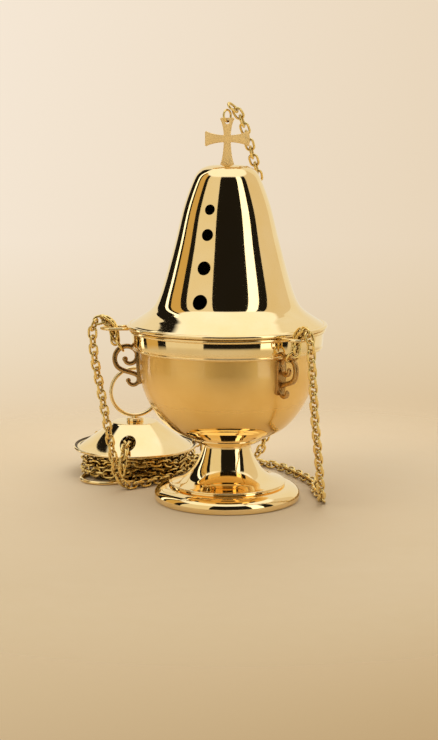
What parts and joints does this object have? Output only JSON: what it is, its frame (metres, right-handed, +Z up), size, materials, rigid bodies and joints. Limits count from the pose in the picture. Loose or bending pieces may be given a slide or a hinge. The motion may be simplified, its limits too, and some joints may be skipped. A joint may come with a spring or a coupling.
{
  "type": "thurible censer",
  "caption": "Hanging incense burner: round footed bowl, tall vented bell lid with a cross, scroll brackets, link chains, a conical chain cap and finger rings.",
  "frame": {"origin": "centre of the foot's underside", "axes": "+Z up the bowl's axis to the cross; -Y is the front that faces the viewer; +X to the viewer's right"},
  "size_m": [0.172, 0.1927, 0.2547],
  "materials": {
    "polished_brass": "mirror polished",
    "satin_brass": "satin, finely brushed",
    "chain_brass": "polished, tumbled",
    "dark_brass": "cast, dulled in the recesses",
    "steel": "plain"
  },
  "bodies": {
    "bowl": {"bowl": "satin_brass", "bowl_band": "polished_brass", "charcoal_pan": "steel", "collar": "polished_brass", "foot": "polished_brass", "stem_screw": "steel", "stem_washer": "steel", "stem_nut": "steel", "bracket_left": "dark_brass", "bracket_right": "dark_brass", "bracket_back": "dark_brass", "bracket_rivets": "dark_brass", "jump_ring_left": "chain_brass", "jump_ring_right": "chain_brass", "jump_ring_back": "chain_brass", "chain_left": "chain_brass", "chain_right": "chain_brass", "chain_back": "chain_brass", "chain_centre": "chain_brass", "chain_heap": "chain_brass", "cap": "polished_brass", "cap_eye_rings": "chain_brass", "cap_chain": "chain_brass", "handle_boss": "polished_brass"},
    "lid": {"lid": "polished_brass", "lid_rim": "polished_brass", "lid_locating_ring": "polished_brass", "guide_loop_left": "polished_brass", "guide_loop_right": "polished_brass", "guide_loop_back": "polished_brass", "cross": "polished_brass", "cross_stud": "polished_brass", "cross_nut": "polished_brass", "cross_ring": "polished_brass"},
    "handle": {"handle_ring": "polished_brass", "handle_nut": "polished_brass"},
    "pull": {"pull_ring": "polished_brass"}
  },
  "joints": [
    {"name": "lid_lift", "type": "slide", "parent": "bowl", "child": "lid", "axis": [0, 0, 1], "range_m": [0, 0.04], "deforming": ["chain_left", "chain_right", "chain_back", "chain_centre"]},
    {"name": "handle_swivel", "type": "hinge", "parent": "bowl", "child": "handle", "pos_m": [-0.064, 0.076, 0.036], "axis": [0, 0, 1], "continuous": true},
    {"name": "pull_ring_turn", "type": "hinge", "parent": "bowl", "child": "pull", "pos_m": [-0.083, 0.05, 0.0013], "axis": [0, 0, 1], "continuous": true}
  ]
}
